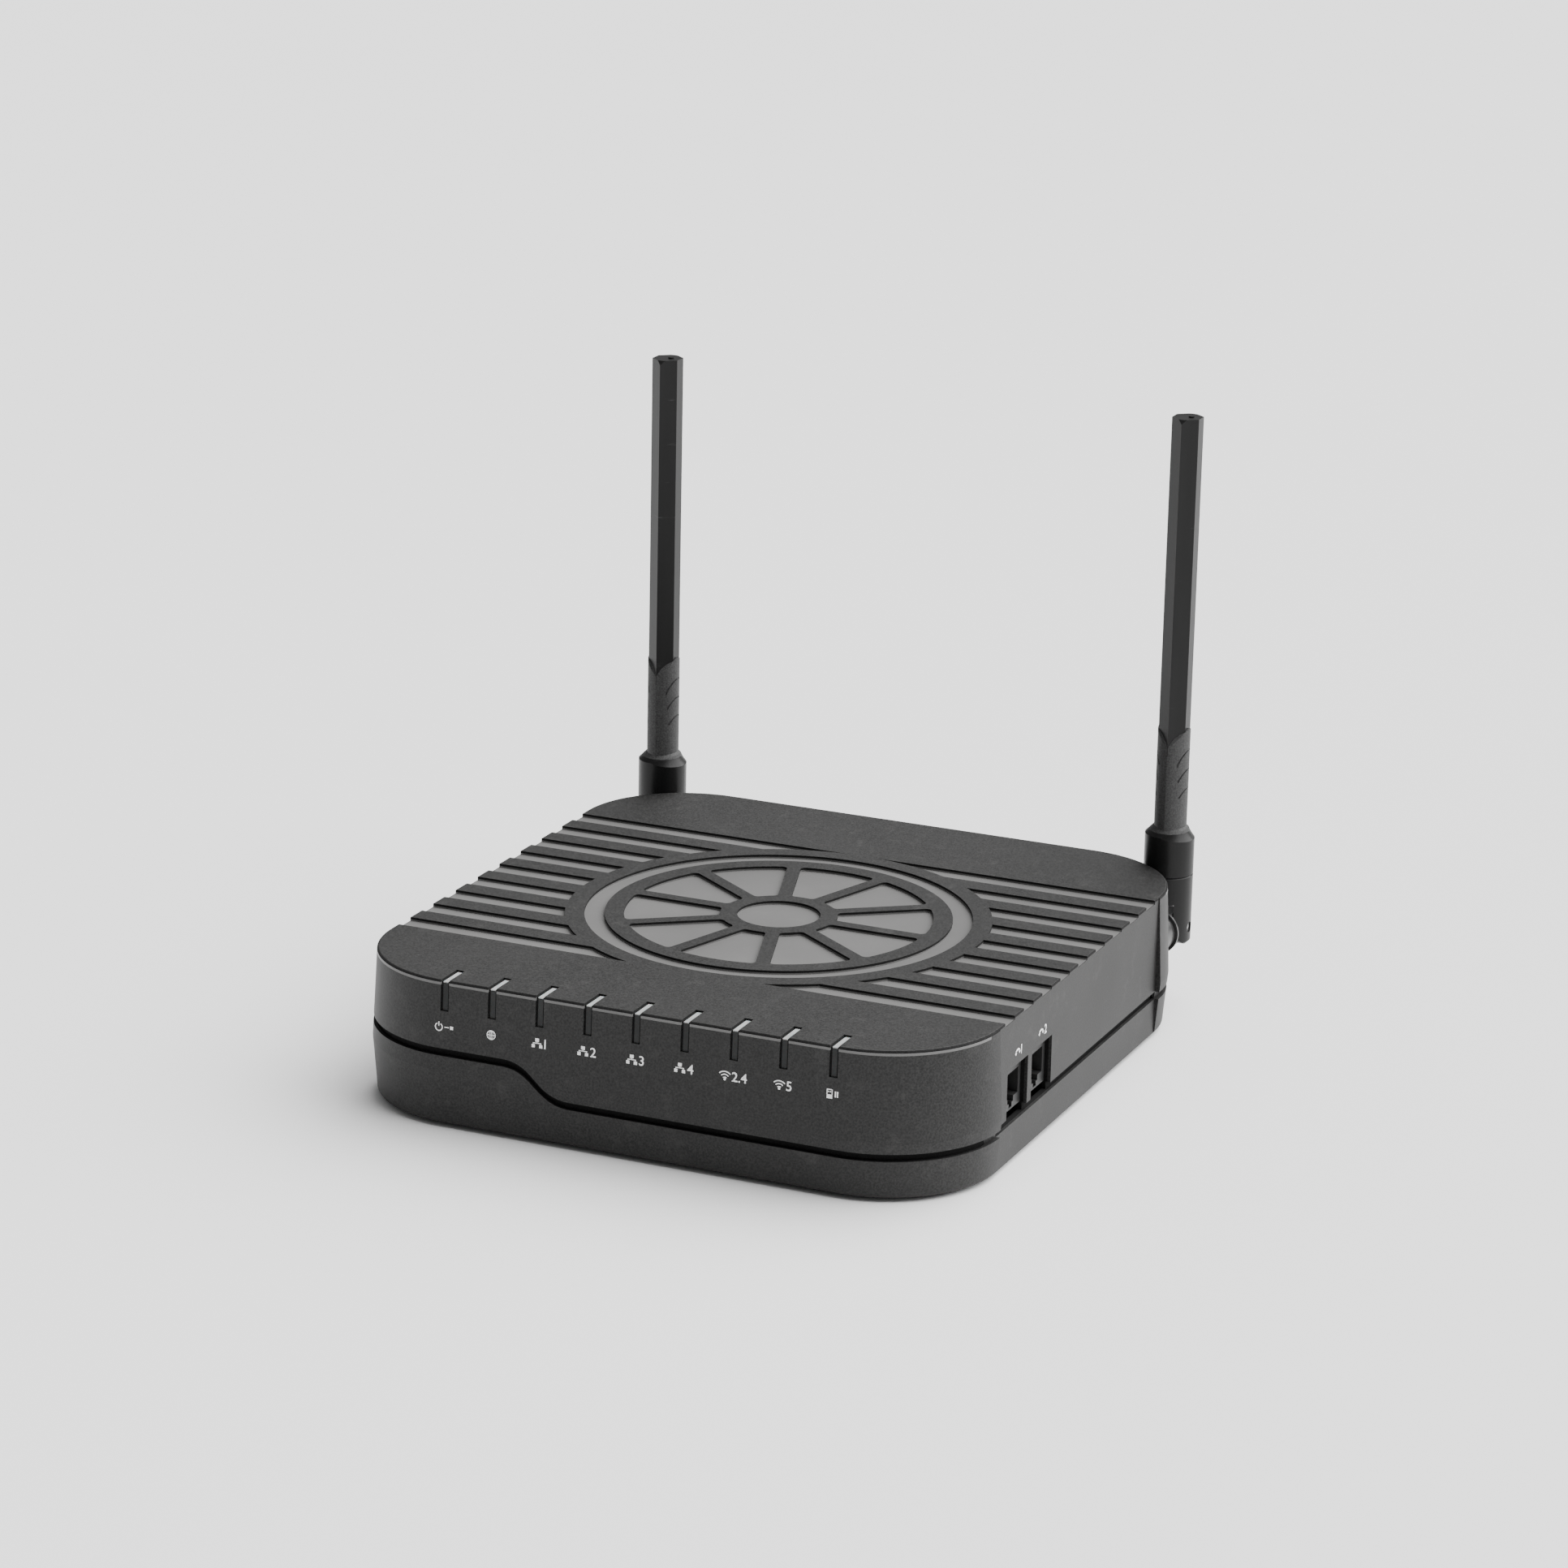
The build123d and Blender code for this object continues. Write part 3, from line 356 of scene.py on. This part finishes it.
def mix_window_plastic():
    finish = Finish("window_plastic")
    x, y, z = finish.axes()
    lit_top = z > guide_high.z - 0.25 * MM
    # painted shadow: a dark band down each side of every window, where the gap to the lid falls in shade
    edge = x.fold(window_step) > WINDOW_WIDTH / 2 - GAP_SHADOW_WIDTH
    frost = finish.noise(1500.0, 2.0)
    cloud = finish.noise(120.0, 3.0)
    # painted shade on the front and painted light on the frosted top: one clear plastic in shaded and lit
    # copies
    deep = finish.tint(finish.span(cloud, 0.3, 0.7), (0.014, 0.015, 0.015), (0.026, 0.027, 0.027))
    pale = finish.tint(finish.span(cloud, 0.3, 0.7), (0.30, 0.31, 0.31), (0.40, 0.41, 0.41))
    colour = finish.tint(lit_top, deep, pale)
    colour = finish.tint(edge, colour, grey(0.004))
    rough = 0.45 + (frost - 0.5) * 0.15 + (cloud - 0.5) * 0.1 + edge * 0.4
    bump = finish.relief(frost, 0.2, 0.02 * MM)
    return finish.shade(Base_Color=colour, Roughness=rough, Normal=bump, Subsurface_Weight=0.1,
                        Subsurface_Scale=0.3 * MM, Specular_IOR_Level=0.2)


# %% [markdown]
# ## The circuit board
# The board shows through the vents and beside the sockets. Under its green solder mask run copper
# tracks, which read as slightly raised, paler lines on a square grid. A brick pattern of two sizes is
# enough for a part that is only glimpsed.


# %% Board laminate
def mix_board_laminate():
    finish = Finish("board_laminate")
    bricks = {"Vector": finish.place(), "Scale": 90.0, "Mortar Size": 0.03}
    bricks.update({"Brick Width": 0.7, "Row Height": 0.22})
    tracks = finish.add("ShaderNodeTexBrick", inputs=bricks, output=1)
    weave = finish.noise(900.0, 2.0)
    colour = finish.tint(tracks, (0.010, 0.075, 0.034), (0.03, 0.15, 0.065))
    colour = finish.tint(finish.span(weave, 0.4, 0.7, 0.0, 0.3), colour, (0.02, 0.10, 0.05))
    bump = finish.relief(tracks + weave * 0.1, 0.3, 0.03 * MM)
    rough = 0.34 + (weave - 0.5) * 0.2 + tracks * 0.05
    return finish.shade(Base_Color=colour, Roughness=rough, Normal=bump, Coat_Weight=0.3)


# %% [markdown]
# ## A finish for every part
# The CAD model names a material slot for each part. One table turns each slot into a finish, and one
# loop puts the finish on every part with that slot, so no part can be forgotten.

# %% Put the finishes on
black_low, black_high = grey(0.014), grey(0.026)
finishes = {
    "case_plastic": case_plastic,
    "aerial_plastic": aerial_plastic,
    "window_plastic": mix_window_plastic(),
    "board_laminate": mix_board_laminate(),
    "hinge_plastic": mix_moulded("hinge_plastic", black_low, black_high, 0.34, 0.3, 0.01, coat=0.1),
    "socket_plastic": mix_moulded("socket_plastic", grey(0.007), grey(0.013), 0.5, 0.25, 0.015),
    "button_plastic": mix_moulded("button_plastic", grey(0.045), grey(0.06), 0.42, 0.3, 0.01, worn=0.25),
    "switch_plastic": mix_moulded("switch_plastic", grey(0.05), grey(0.07), 0.5),
    "usb_insulator": mix_moulded("usb_insulator", black_low, black_high, 0.5),
    "chip_epoxy": mix_moulded("chip_epoxy", grey(0.018), grey(0.032), 0.6, 0.15, 0.01),
    "led_body": mix_moulded("led_body", (0.75, 0.74, 0.6), (0.85, 0.84, 0.72), 0.3, 0.4, 0.005, coat=0.3),
    "ferrite": mix_moulded("ferrite", grey(0.05), grey(0.09, 0.05), 0.7, 0.3, 0.03),
    "foot_rubber": mix_moulded("foot_rubber", grey(0.02), grey(0.04), 0.85, 0.5, 0.05, worn=0.3),
    "plate_film": mix_moulded("plate_film", grey(0.42, 0.01), grey(0.5, 0.01), 0.35, 0.6, 0.005, worn=0.2),
    "lead_jacket": mix_moulded("lead_jacket", grey(0.03), grey(0.05), 0.4, 0.5, 0.01),
    "sink_aluminium": mix_metal("sink_aluminium", (0.72, 0.73, 0.75), 0.38),
    "can_steel": mix_metal("can_steel", (0.62, 0.63, 0.64), 0.3),
    "usb_steel": mix_metal("usb_steel", (0.66, 0.66, 0.67), 0.25),
    "screw_steel": mix_metal("screw_steel", (0.5, 0.5, 0.5), 0.35, lines=(6.0, 6.0, 1.0)),
    "contact_gold": mix_metal("contact_gold", (0.83, 0.62, 0.25), 0.25, tarnish=0.3),
    "capacitor_sleeve": mix_metal("capacitor_sleeve", (0.45, 0.46, 0.5), 0.4),
    "radiator_metal": mix_metal("radiator_metal", (0.78, 0.45, 0.25), 0.35, tarnish=0.4),
}
for part in frame["record"]["subparts"]:
    mesh = nodes[part["node"]].data
    mesh.materials.clear()
    mesh.materials.append(finishes[part["material_slot"]])

# %% [markdown]
# ## Printed marks
# Under each window the lid carries a small white mark, pad printed straight on to the grain. The
# marks here are plain pictograms and digits. Each is drawn flat and lying down from rings, bars and
# digits, joined, stood up against its wall, pressed on to the wall's real shape with a shrinkwrap
# and given the thickness of a film of ink. Printing them as a picture would need a picture file; as
# thin meshes they stay sharp and move with the case.

# %% Drawing helpers
INK = 0.03 * MM
MARK_HEIGHT = 2.5 * MM


def clear_selection():
    bpy.ops.object.select_all(action="DESELECT")


def take(shape):
    """Makes one object the only one selected."""
    clear_selection()
    shape.select_set(True)
    bpy.context.view_layer.objects.active = shape
    return shape


def apply_place(shape):
    take(shape)
    bpy.ops.object.transform_apply(location=True, rotation=True, scale=True)
    return shape


def bar(x, y, width, height, turn=0.0):
    """A flat bar in mark heights, by its middle and size."""
    clear_selection()
    bpy.ops.mesh.primitive_plane_add(size=1.0, location=(x, y, 0), rotation=(0, 0, radians(turn)))
    shape = bpy.context.object
    shape.scale = (width, height, 1)
    return apply_place(shape)


def ring(x, y, radius, width, first=0.0, last=360.0):
    """A flat ring, or the part of it between two angles."""
    clear_selection()
    bpy.ops.mesh.primitive_circle_add(vertices=48, radius=radius, fill_type="NGON", location=(x, y, 0))
    shape = apply_place(bpy.context.object)
    bpy.ops.object.mode_set(mode="EDIT")
    bpy.ops.mesh.select_all(action="SELECT")
    bpy.ops.mesh.inset(thickness=width, depth=0)
    bpy.ops.mesh.delete(type="FACE")
    bpy.ops.object.mode_set(mode="OBJECT")
    if last - first < 360.0:
        keep_arc(shape, x, y, first, last)
    return shape


def keep_arc(shape, x, y, first, last):
    """Deletes the faces of a ring whose middle lies outside two angles."""
    middle = radians(first + last) / 2
    reach = radians(last - first) / 2
    for face in shape.data.polygons:
        turn = atan2(face.center.y - y, face.center.x - x) - middle
        turn = (turn + pi) % (2 * pi) - pi
        face.select = abs(turn) > reach
    bpy.ops.object.mode_set(mode="EDIT")
    bpy.ops.mesh.delete(type="FACE")
    bpy.ops.object.mode_set(mode="OBJECT")


def digit(text, x, y=0.0, height=1.0):
    """A digit as a flat mesh, by its left edge and its middle height."""
    clear_selection()
    bpy.ops.object.text_add()
    shape = bpy.context.object
    shape.data.body = text
    shape.data.size = 1.4 * height
    shape.data.offset = 0.015
    shape.data.resolution_u = 4
    bpy.ops.object.convert(target="MESH")
    shape = bpy.context.object
    lows = [min(v.co[axis] for v in shape.data.vertices) for axis in (0, 1)]
    tall = max(v.co.y for v in shape.data.vertices) - lows[1]
    shape.location = (x - lows[0] * height / tall, y - lows[1] * height / tall - height / 2, 0)
    shape.scale = (height / tall, height / tall, 1)
    return apply_place(shape)


def join(name, pieces):
    """Joins flat pieces into one mark, centred on its own width."""
    take(pieces[0])
    for piece in pieces:
        piece.select_set(True)
    bpy.ops.object.join()
    mark = bpy.context.object
    mark.name = name
    mark.data.name = name
    xs = [v.co.x for v in mark.data.vertices]
    mark.location = (-(min(xs) + max(xs)) / 2, 0, 0)
    return apply_place(mark)


print("a mark is drawn", round(MARK_HEIGHT / MM, 1), "mm high")

# %% [markdown]
# ## The pictograms
# Each mark is drawn one unit high. A broken ring with a bar stands for power, a ring with crossed
# lines for the outside line, three linked boxes for a local line, arcs over a dot for a radio band,
# a plug outline for the peripheral socket and a handset for a telephone.


# %% Draw the pictograms
def power_sign():
    return [ring(0, -0.05, 0.45, 0.11, 120, 420), bar(0, 0.27, 0.11, 0.46)]


def globe_sign():
    across = [ring(0, 0, 0.5, 0.09), bar(0, 0, 0.9, 0.08), bar(0, 0, 0.08, 0.9)]
    oval = ring(0, 0, 0.46, 0.1)
    oval.scale = (0.52, 1.0, 1.0)
    return across + [apply_place(oval)]


def network_sign():
    boxes = [bar(0, 0.31, 0.42, 0.36), bar(-0.42, -0.33, 0.36, 0.34), bar(0.42, -0.33, 0.36, 0.34)]
    lines = [bar(0, 0.06, 0.09, 0.16), bar(0, -0.02, 0.93, 0.09), bar(-0.42, -0.11, 0.09, 0.14),
             bar(0.42, -0.11, 0.09, 0.14)]
    return boxes + lines


def radio_sign():
    arcs = [ring(0, -0.42, 0.3 + 0.3 * step, 0.11, 45, 135) for step in range(3)]
    return arcs + [ring(0, -0.38, 0.13, 0.12)]


def plug_sign():
    return [bar(0, -0.3, 0.6, 0.4), bar(-0.27, 0.16, 0.09, 0.56), bar(0.27, 0.16, 0.09, 0.56),
            bar(0, 0.42, 0.62, 0.09), bar(-0.11, 0.2, 0.12, 0.12), bar(0.11, 0.2, 0.12, 0.12)]


def handset_sign():
    handle = ring(0, -0.5, 0.85, 0.2, 48, 132)
    return [handle, bar(-0.5, -0.08, 0.32, 0.3, 48), bar(0.5, -0.08, 0.32, 0.3, -48)]


front_marks = [power_sign() + [bar(0.9, 0, 0.5, 0.1), bar(1.45, 0, 0.35, 0.35)], globe_sign()]
front_marks += [network_sign() + [digit(str(number), 0.8)] for number in range(1, 5)]
front_marks += [radio_sign() + [digit(band, 0.75)] for band in ("2.4", "5")]
front_marks += [plug_sign() + [bar(0.62, 0, 0.14, 0.6), bar(0.85, 0, 0.14, 0.6)]]
marks = [join(f"front_mark_{index + 1}", pieces) for index, pieces in enumerate(front_marks)]
print("drew", len(marks), "front marks")

# %% [markdown]
# ## Pressing the marks on
# The walls lean by about three degrees and curve at the corners, so a flat mark would sink into them
# or float. A shrinkwrap that projects along the wall's direction drops each point on to the lid, and
# a solidify gives the ink its thickness outwards.

# %% Press the marks on the walls
ink = mix_moulded("legend_ink", grey(0.88), grey(0.95), 0.5, 0.3, 0.004, worn=0.0)


def press(mark, name, node, turn, place, height=MARK_HEIGHT):
    """Stands a flat mark up, turns it to face its wall, puts it there and presses it on."""
    mark.name = name
    mark.scale = (height, height, height)
    mark.rotation_euler = (pi / 2, 0, turn)
    mark.location = place
    apply_place(mark)
    take(mark)
    bpy.ops.object.mode_set(mode="EDIT")
    bpy.ops.mesh.select_all(action="SELECT")
    bpy.ops.mesh.quads_convert_to_tris()
    bpy.ops.mesh.subdivide(number_cuts=1)
    bpy.ops.object.mode_set(mode="OBJECT")
    wrap = mark.modifiers.new("wrap", "SHRINKWRAP")
    wrap.target = nodes[node]
    wrap.wrap_method = "PROJECT"
    wrap.use_project_x = abs(cos(turn)) < 0.5
    wrap.use_project_y = not wrap.use_project_x
    wrap.use_negative_direction = True
    wrap.use_positive_direction = True
    wrap.offset = 0.005 * MM
    bpy.ops.object.modifier_apply(modifier="wrap")
    film = mark.modifiers.new("film", "SOLIDIFY")
    film.thickness = INK
    film.offset = 1.0
    bpy.ops.object.modifier_apply(modifier="film")
    mark.data.materials.clear()
    mark.data.materials.append(ink)
    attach(mark, "case")
    return mark


front_y = cover_low.y - 1.0 * MM
for index, mark in enumerate(marks):
    x = guide_low.x + WINDOW_WIDTH / 2 + index * window_step
    press(mark, mark.name, "upper_cover", 0.0, (x, front_y, top_z - 12.25 * MM))
print("pressed", len(marks), "marks,", round(window_step / MM, 2), "mm apart")

# %% Marks over the telephone and rear sockets
for number in (1, 2):
    low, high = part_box(f"phone_socket_{number}")
    mark = join(f"phone_mark_{number}", handset_sign() + [digit(str(number), 0.9)])
    place = (cover_high.x + 1.0 * MM, (low.y + high.y) / 2, top_z - 10.4 * MM)
    press(mark, mark.name, "upper_cover", pi / 2, place)

lan_low, lan_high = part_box("lan_socket")
mark_z = lan_high.z + 3.4 * MM
for number in range(1, 5):
    x = lan_low.x + (lan_high.x - lan_low.x) * (2 * number - 1) / 8
    mark = join(f"lan_mark_{number}", [digit(str(number), 0.0)])
    press(mark, mark.name, "upper_cover", pi, (x, cover_high.y + 1.0 * MM, mark_z), 1.9 * MM)
rear_signs = {"wan_socket": globe_sign, "usb_shell": plug_sign, "power_button": power_sign}
for node, sign in rear_signs.items():
    low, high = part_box(node)
    mark = join(f"rear_mark_{node}", sign())
    place = ((low.x + high.x) / 2, cover_high.y + 1.0 * MM, mark_z)
    press(mark, mark.name, "upper_cover", pi, place, 2.1 * MM)
inlet_low, inlet_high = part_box("power_inlet")
mark = join("rear_mark_power_inlet", [ring(0, 0, 0.5, 0.1), ring(0, 0, 0.16, 0.15), bar(0.85, 0, 0.3, 0.1),
                                      bar(-0.85, 0, 0.3, 0.1), bar(-0.85, 0, 0.1, 0.3)])
place = ((inlet_low.x + inlet_high.x) / 2, cover_high.y + 1.0 * MM, mark_z)
press(mark, mark.name, "upper_cover", pi, place)
print("marks stand", round(mark_z / MM, 1), "mm up on the rear wall")

# %% [markdown]
# ## The studio
# The gateway stands on a plain pale floor under wide soft light. Dark matt plastic shows its form
# through what it reflects, so the pale floor matters as much as the lamps: it lights the side wall at
# a glancing angle and leaves the front wall dark. A sun lamp as wide as an overcast sky stands above
# and behind, so that the floor is evenly bright however far away it is, and a square lamp on the
# right keeps the shadow side open. The world is dim, because the lid mirrors it.

# %% Floor and light
clear_selection()
bpy.ops.mesh.primitive_plane_add(size=12.0, location=(0, 0, 0))
floor = bpy.context.object
floor.name = "floor"
pale = Finish("floor_paper")
paper = pale.noise(6.0, 2.0)
floor.data.materials.append(pale.shade(Base_Color=pale.tint(paper, grey(0.86), grey(0.88)), Roughness=0.9))

world = bpy.data.worlds.new("studio")
bpy.context.scene.world = world
world.use_nodes = True
world.node_tree.nodes["Background"].inputs["Color"].default_value = (1.0, 1.0, 1.0, 1.0)
world.node_tree.nodes["Background"].inputs["Strength"].default_value = 0.3


def lamp(name, kind, power, direction, place=(0, 0, 0)):
    """A lamp that shines in one direction."""
    light = bpy.data.lights.new(name, kind)
    light.energy = power
    holder = bpy.data.objects.new(name, light)
    holder.location = place
    holder.rotation_euler = Vector(direction).to_track_quat("-Z", "Y").to_euler()
    bpy.context.scene.collection.objects.link(holder)
    return light


overhead = lamp("overhead", "SUN", 8.5, (-0.55, -0.5, -1.0))
overhead.angle = radians(80)
fill_place = Vector((1.8, -0.3, 0.8))
right_fill = lamp("right_fill", "AREA", 6.0, Vector((0, 0, 0.03)) - fill_place, fill_place)
right_fill.shape = "SQUARE"
right_fill.size = 1.0
print("studio lit")

# %% [markdown]
# ## The camera
# A long lens from the right front, a little above the case, keeps the case's edges nearly parallel.
# The camera is placed from the angle it looks from, its distance and the point it is aimed at, and
# then rolled by about one degree.

# %% Camera
AZIMUTH, ELEVATION, ROLL = radians(23.5), radians(16.93), radians(1.17)
DISTANCE = 1.330
aim = Vector((-4.0 * MM, (cover_low.y + cover_high.y) / 2 + 9.05 * MM, 71.9 * MM))
back = Vector((sin(AZIMUTH) * cos(ELEVATION), -cos(AZIMUTH) * cos(ELEVATION), sin(ELEVATION)))
lens = bpy.data.cameras.new("camera")
lens.sensor_width = 36.0
lens.lens = 116.0
lens.clip_start, lens.clip_end = 0.05, 50.0
camera = bpy.data.objects.new("camera", lens)
turn = (-back).to_track_quat("-Z", "Y").to_matrix().to_4x4()
camera.matrix_world = Matrix.Translation(aim + back * DISTANCE) @ turn @ Matrix.Rotation(ROLL, 4, "Z")
bpy.context.scene.collection.objects.link(camera)
bpy.context.scene.camera = camera
print("camera at", [round(c, 3) for c in camera.location])
